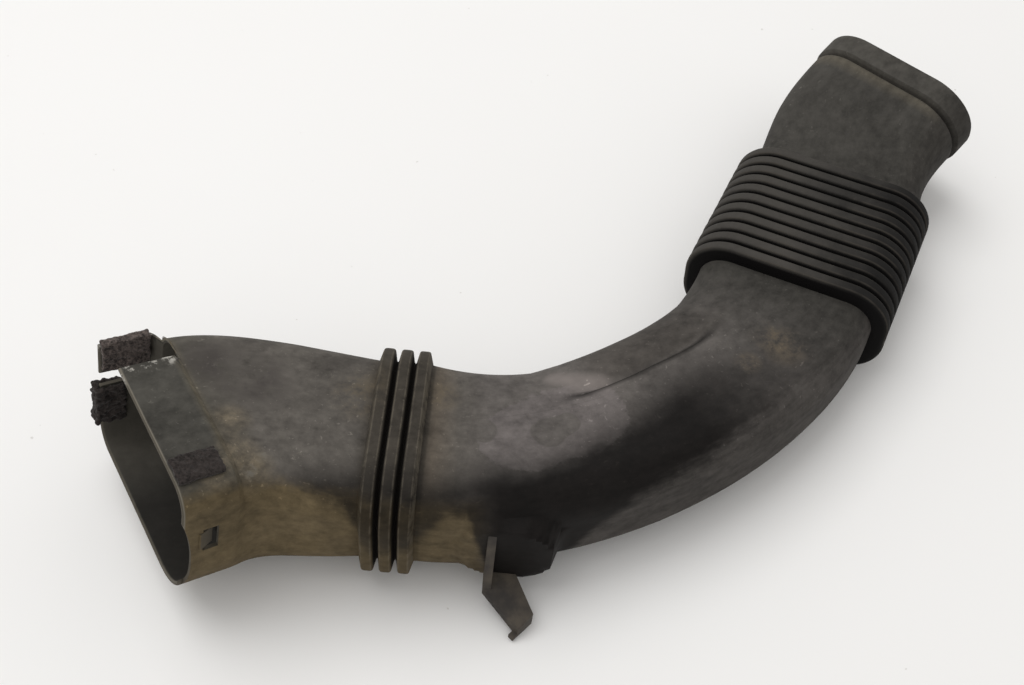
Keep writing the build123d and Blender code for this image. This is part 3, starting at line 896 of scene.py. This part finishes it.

# %% [markdown]
# Each layer is one colour through one mask, and a mask is a place on the duct times a cloud that breaks its
# edge. First come the wide layers: olive dust on the inlet's near wall, darker plastic low on the bend and on
# the outlet, a black streak of oil with a painted dark reflection, and painted shade on the flank inside the
# bend. The streak starts on the neck's corner, crosses the rings, broadens over the bracket and dies out on
# the bend's top. Three ramps along the path say where it begins on its way over the top, where it ends, and
# how black it is. A ramp holds 0 to 1, so the ends are kept as thirds. The back wall stays plain.

# %% Wide layers of dirt, painted reflection and painted shade
OLIVE_DUST, LOW_GREY, OUTLET_SIDE_GREY = (0.105, 0.080, 0.045), (0.056, 0.051, 0.047), (0.041, 0.038, 0.034)
OIL_AND_REFLECTION_BLACK, PAINTED_FLANK_SHADE = (0.0085, 0.0072, 0.0066), (0.050, 0.044, 0.038)
STREAK_FROM = [(60, 0.84), (82, 0.76), (100, 0.68), (123, 0.56), (141, 0.62), (152, 0.58), (166, 0.48),
               (180, 0.50), (192, 0.44), (210, 0.32), (230, 0.22), (252, 0.08), (280, 0.04), (305, 0.25)]
STREAK_TO = [(60, 0.34), (82, 0.38), (100, 0.43), (115, 0.67), (136, 0.60), (146, 0.42), (154, 0.41),
             (168, 1.0), (190, 1.0), (204, 0.67), (220, 0.47), (230, 0.42), (252, 0.36), (280, 0.33),
             (305, 0.32)]
STREAK_BLACK = [(52, 0.0), (68, 0.62), (82, 0.84), (105, 0.78), (112, 0.60), (136, 0.65), (140, 0.76),
                (154, 0.80), (166, 1.0), (255, 1.0), (278, 0.74), (300, 0.50), (335, 0.26), (360, 0.0)]
ragged = over_top + (blotch - 0.5) * 0.4 + (streaks - 0.5) * 0.25
near = step(plastic, leftness, 0.8, 0.5)
olive = near * step(plastic, ragged, 0.85, 1.2) * step(plastic, path + (blotch - 0.5) * 24, 170, 156)
colour = over(plastic, tone, OLIVE_DUST, olive * (0.5 + broad))
lower = near * step(plastic, over_top, 0.8, 1.3) * step(plastic, path, 168, 190)
colour = over(plastic, colour, LOW_GREY, lower)
outlet_side = near * step(plastic, over_top, 0.5, 1.2) * step(plastic, path, 440, 462)
colour = over(plastic, colour, OUTLET_SIDE_GREY, outlet_side)
# The streak is oil with a painted dark reflection on the bend's top.
begins = follows(plastic, path, LENGTH, STREAK_FROM)
ends = follows(plastic, path, LENGTH, STREAK_TO) * 3
oil_and_reflection = step(plastic, ragged - begins, -0.28, 0.28) * step(plastic, ragged - ends, 0.24, -0.2)
oil_and_reflection = near * oil_and_reflection * follows(plastic, path, LENGTH, STREAK_BLACK)
colour = over(plastic, colour, OIL_AND_REFLECTION_BLACK, oil_and_reflection)
# Painted shade on the bend's inner flank, which turns away from the light.
flank = step(plastic, leftness, 0.22, 0.36) * step(plastic, path, 210, 236) * step(plastic, path, 330, 285)
colour = over(plastic, colour, PAINTED_FLANK_SHADE, flank * 0.65)
mottled = 1 + (blotch - 0.5) * 1.2 + (streaks - 0.5) * 0.9 + (grain - 0.5) * 1.1
colour = shaded(plastic, colour, mottled)
print("wide layers use", len(plastic.tree.nodes), "nodes")

# %% [markdown]
# Then the small ones. Where the real duct has them come brown dust beside the rings and packed under the
# collar's step, grease on the neck's top, a dried smudge with bare holes past the rings and rust-brown stains
# before the bellows. Then come a painted highlight on the lip where the fold begins and painted shade in the
# fold's crease. Each mark is a place on the duct and a radius, in millimetres.

# %% Marks
BROWN_DUST, STEP_BROWN, GREASE_GREY = (0.122, 0.098, 0.066), (0.150, 0.123, 0.086), (0.046, 0.040, 0.038)
DRIED_GREY, LIP_HIGHLIGHT_GREY, RUST_BROWN = (0.138, 0.122, 0.119), (0.200, 0.176, 0.164), (0.105, 0.085, 0.062)
SCUFF_GREY, CREASE_SHADE_BLACK = (0.14, 0.128, 0.108), (0.010, 0.009, 0.008)
BROWN = [(-97, -92, 73, 20), (-62, -90, 69, 12)]
STEP_DUST = [(-148, -131, 85, 14), (-153, -114, 84, 12), (-141, -138, 81, 13), (-154, -145, 92, 12)]
GREASE = [(-171, -80, 83, 18), (-155, -85, 81, 24), (-141, -92, 79, 20)]
SMUDGE = [(-28, -113, 65, 26), (-10, -104, 64, 32), (8, -96, 62, 28)]
HOLES = [(-42, -108, 67, 10), (-12, -107, 64, 13), (-3, -101, 63, 9)]
LIT = [(-7, -73, 59, 9), (3, -75, 59, 10), (13, -75, 59, 9)]
STAINS = [(106, -49, 53, 16), (99, -43, 53, 13), (86, -60, 55, 9)]
SCUFFS = [(-141, -139, 82, 5), (-137, -131, 81, 5), (-114, -81, 75, 5), (-125, -128, 78, 6)]
uneven = blotch * 0.6 + grain * 0.4
breaks = step(plastic, uneven, 0.42, 0.58)
colour = over(plastic, colour, BROWN_DUST, spots(plastic, where, BROWN) * breaks * 0.7)
packed = spots(plastic, where, STEP_DUST) * (0.35 + breaks * 0.65)
colour = over(plastic, colour, shaded(plastic, STEP_BROWN, mottled), packed * 0.8)
colour = over(plastic, colour, GREASE_GREY, spots(plastic, where, GREASE) * breaks * 0.5)
smudge = step(plastic, spots(plastic, where, SMUDGE) + (uneven - 0.5) * 1.6, 0.42, 0.55)
holes = step(plastic, spots(plastic, where, HOLES) + (uneven - 0.5) * 1.2, 0.35, 0.5)
smudge = smudge * (1 - holes) * (1 - oil_and_reflection)
colour = over(plastic, colour, shaded(plastic, DRIED_GREY, mottled), smudge * 0.6)
# A painted highlight on the lip where the fold begins.
colour = over(plastic, colour, LIP_HIGHLIGHT_GREY, spots(plastic, where, LIT) * 0.75)
colour = over(plastic, colour, RUST_BROWN, spots(plastic, where, STAINS) * breaks * 0.75)
colour = over(plastic, colour, SCUFF_GREY, spots(plastic, where, SCUFFS) * step(plastic, grain, 0.5, 0.62))
# Painted shade in the fold's crease.
colour = over(plastic, colour, CREASE_SHADE_BLACK, kept(plastic, "crease") * 0.85)
print(len(BROWN + STEP_DUST + GREASE + SMUDGE + HOLES + LIT + STAINS + SCUFFS), "marks on the duct")

# %% [markdown]
# Last come the specks and hair scratches that cover everything, the rings' worn crest edges with a painted
# highlight, painted shade in the grooves and on the lining, the pale trimmed rim with a painted highlight,
# and the whitened plastic where the corner broke off.

# %% Specks, grooves and edges
WORN_AND_LIT_BROWN, GROOVE_SHADE_BLACK, RIM_PALE_AND_HIGHLIGHT = (0.120, 0.104, 0.080), (0.013, 0.0115, 0.010), (0.165, 0.150, 0.122)
LINING_SHADE, LINING_PALE = (0.028, 0.026, 0.023), (0.088, 0.081, 0.068)
BROKEN_BROWN, TORN_WHITE = (0.075, 0.066, 0.052), (0.46, 0.44, 0.40)
TORN = [(-198, -94, 95, 6), (-191, -89, 93, 7), (-184, -85, 91, 6)]
top_side = step(plastic, upness, 0.2, 0.85) * (1 - lining)
specks = step(plastic, clouds(plastic, 1.0, 2, 0.5), 0.66, 0.74) * step(plastic, broad, 0.36, 0.6)
hairs = step(plastic, clouds(plastic, 1.3, 2, 0.5, at=along_duct), 0.68, 0.72)
hairs = hairs * step(plastic, blotch, 0.5, 0.6)
colour = shaded(plastic, colour, 1 + (specks + hairs) * top_side * 0.6)
crest = step(plastic, path, 109.5, 111) * step(plastic, path, 137, 135.8)
colour = shaded(plastic, colour, 1 - crest * step(plastic, depth, 0.03, 0.008) * 0.25)
# The rings' crest edges are worn and carry a painted highlight.
worn_and_lit_edge = step(plastic, depth, 0.006, 0.03) * step(plastic, depth, 0.16, 0.08)
worn_and_lit_edge = worn_and_lit_edge * crest * (1 - oil_and_reflection * 0.6) * step(plastic, grain, 0.35, 0.6)
colour = over(plastic, colour, WORN_AND_LIT_BROWN, worn_and_lit_edge * 0.6)
# Painted shade darkens the grooves.
colour = over(plastic, colour, GROOVE_SHADE_BLACK, step(plastic, depth, 0.14, 0.6) * (1 - lining))
# Painted shade inside the duct, paler towards its left wall.
lining_shade = over(plastic, LINING_SHADE, LINING_PALE, step(plastic, leftness, 0.0, 0.9))
colour = over(plastic, colour, shaded(plastic, lining_shade, 0.3 + blotch * 0.9 + grain * 0.5), lining)
# The trimmed rim is pale, with a painted highlight along it.
rim = step(plastic, path, 1.6, 0.5) * (1 - lining) + edge * step(plastic, path, 20, 4)
colour = over(plastic, colour, RIM_PALE_AND_HIGHLIGHT, rim * step(plastic, uneven, 0.25, 0.5) * 0.75)
broken = kept(plastic, "broken")
white_edge = step(plastic, upness, 0.55, 0.65) * step(plastic, leftness, 0.2, 0.4)
white_edge = white_edge * step(plastic, grain, 0.42, 0.6)
colour = over(plastic, colour, BROKEN_BROWN, broken * 0.8)
torn_edge = broken * white_edge + spots(plastic, where, TORN) * step(plastic, grain, 0.52, 0.62)
colour = over(plastic, colour, TORN_WHITE, torn_edge * 0.85)
plastic.set("Base Color", colour)
print("duct finish has", len(plastic.tree.nodes), "nodes")

# %% [markdown]
# Dust is matt and wiped plastic has a low sheen. The bump has three scales: the mould's fine grain, the lumps
# of the dirt, and the mould's parting line, a hair's breadth of flash that runs along the bend's top.

# %% Sheen and relief of the duct plastic
PARTING_AT = 0.11
parting = step(plastic, path, 148, 165) * step(plastic, path, 228, 208) * step(plastic, upness, 0.9, 0.97)
aside = plastic.node("Math", {"operation": "ABSOLUTE"}, {0: leftness - PARTING_AT})
parting = parting * step(plastic, aside, 0.016, 0.004)
plastic.set("Roughness", 0.68 + blotch * 0.18 - oil_and_reflection * 0.2)
plastic.set("Normal", bump(plastic, grain * 0.45 + blotch * 0.8 + parting * 1.2, 0.45, 0.3))
for name in ("inlet_duct_body", "outlet_duct_body"):
    plastic.cover(tubes[name])
print("with sheen and relief it has", len(plastic.tree.nodes), "nodes")

# %% [markdown]
# The bellows are a soft black elastomer. Dust dulls their left side and thins out towards the right, the
# crests' edges are worn and carry a painted highlight, and painted shade makes the grooves black.

# %% Bellows plastic
BARE_RUBBER, DUSTY_RUBBER = (0.0115, 0.011, 0.0105), (0.054, 0.050, 0.045)
WORN_AND_LIT_RUBBER, GROOVE_SHADE_DARK = (0.066, 0.058, 0.048), (0.004, 0.0035, 0.0035)
rubber = Finish("bellows_plastic_worn", 0.1)
side, low = kept(rubber, "leftness"), kept(rubber, "depth")
powder = clouds(rubber, 16, 5, 0.6, warp=0.3)
fine = clouds(rubber, 1.4, 4, 0.65)
dusted = step(rubber, side + (powder - 0.5) * 1.2, -0.8, 0.3)
black = over(rubber, BARE_RUBBER, DUSTY_RUBBER, dusted)
black = shaded(rubber, black, 0.6 + powder * 0.4 + fine * 0.4)
# The crests' edges are worn and carry a painted highlight.
worn = step(rubber, low, 0.01, 0.05) * step(rubber, low, 0.2, 0.1) * step(rubber, powder, 0.36, 0.6)
black = over(rubber, black, WORN_AND_LIT_RUBBER, worn * 0.55)
# Painted shade darkens the grooves and the foot of each end wall.
groove_shade = step(rubber, low, 0.10, 0.38) * (1 - kept(rubber, "lining"))
black = over(rubber, black, GROOVE_SHADE_DARK, groove_shade)
rubber.set("Base Color", black)
rubber.set("Roughness", 0.66 + powder * 0.2)
rubber.set("Normal", bump(rubber, fine * 0.6 + powder * 0.5, 0.35, 0.25))
rubber.cover(tubes["bellows_body"])
print("bellows finish has", len(rubber.tree.nodes), "nodes")

# %% [markdown]
# The bracket has the same plastic with less dust. The felt is nearly black with brown lint in its nap, and
# the strip on the broken edge has faded.

# %% Bracket plastic and felt
ARM_GREY, ARM_DUST = (0.036, 0.032, 0.029), (0.105, 0.088, 0.068)
FELT_BLACK, FELT_BROWN, FELT_FADED = (0.010, 0.0085, 0.008), (0.034, 0.028, 0.026), (0.140, 0.113, 0.102)
arm = Finish("bracket_plastic_worn", 0.2)
dust = clouds(arm, 9, 5, 0.6)
arm.set("Base Color", over(arm, ARM_GREY, ARM_DUST, step(arm, dust, 0.38, 0.7) * 0.8))
arm.set("Roughness", 0.6 + dust * 0.2)
arm.set("Normal", bump(arm, clouds(arm, 1.5, 4), 0.3, 0.15))
arm.cover(bracket)

felt = Finish("black_felt", 0.1)
nap = clouds(felt, 0.8, 6, 0.75)
lint = clouds(felt, 5, 4, 0.6)
brown = over(felt, FELT_BROWN, FELT_FADED, kept(felt, "faded"))
pile = over(felt, FELT_BLACK, brown, step(felt, nap, 0.34, 0.66))
felt.set("Base Color", over(felt, pile, brown, step(felt, lint, 0.42, 0.7) * 0.5))
felt.set("Roughness", 0.95)
felt.set("Normal", bump(felt, nap, 0.9, 0.5))
felt.set("Sheen Weight", 0.1)
for pad in pads:
    felt.cover(pad)
print("finishes:", [m.name for m in bpy.data.materials if m.users])

# %% [markdown]
# The table is near white and slightly specked. It is the only stage: the duct rests on it as it lies.

# %% Table
TABLE_SHADE, TABLE_WHITE, FLECK_BROWN = (0.868, 0.860, 0.848), (0.892, 0.888, 0.880), (0.45, 0.42, 0.38)
deselect()
bpy.ops.mesh.primitive_plane_add(size=8, location=(0, 0, 0))
table = bpy.context.object
table.name = "table_top"
top = Finish("pale_table", 0.3)
fleck = step(top, clouds(top, 3.5, 2, 0.5), 0.76, 0.79)
shade = over(top, TABLE_SHADE, TABLE_WHITE, clouds(top, 120, 3))
top.set("Base Color", over(top, shade, FLECK_BROWN, fleck * 0.4))
top.set("Roughness", 0.6)
top.cover(table)
print("table finish has", len(top.tree.nodes), "nodes")

# %% [markdown]
# Soft light comes from a window at the back left. A large area lamp stands in for it, and an even pale world
# fills the shadows. Both are low enough that a colour renders about as it is written.

# %% Light
scene = bpy.context.scene
world = bpy.data.worlds.new("room")
scene.world = world
world.use_nodes = True
background = world.node_tree.nodes["Background"]
background.inputs["Color"].default_value = (1.0, 0.99, 0.975, 1)
background.inputs["Strength"].default_value = 0.7


def window(name, place, width, height, power):
    deselect()
    bpy.ops.object.light_add(type="AREA", location=place)
    lamp = bpy.context.object
    lamp.name = name
    lamp.data.shape, lamp.data.energy = "RECTANGLE", power
    lamp.data.size, lamp.data.size_y = width, height
    lamp.rotation_euler = (-Vector(place)).to_track_quat("-Z", "Y").to_euler()


window("back_window", (-0.8, 0.75, 2.8), width=2.6, height=2.2, power=40)

# %% [markdown]
# The camera stands where the photograph was taken from: in front of the duct, looking down at about 52
# degrees.

# %% Camera
camera = bpy.data.objects.new("photo_camera", bpy.data.cameras.new("photo_camera"))
scene.collection.objects.link(camera)
camera.location = (-0.02879, -0.41874, 0.52944)
aim = Vector((-0.02879, -0.00505, -0.00005)) - camera.location
camera.rotation_euler = aim.to_track_quat("-Z", "Y").to_euler()
camera.data.lens, camera.data.sensor_width = 42.95, 36
scene.camera = camera
scene.view_settings.view_transform = "Standard"
print("camera looks down at", round(90 - degrees(aim.angle(Vector((0, 0, -1))))), "degrees")
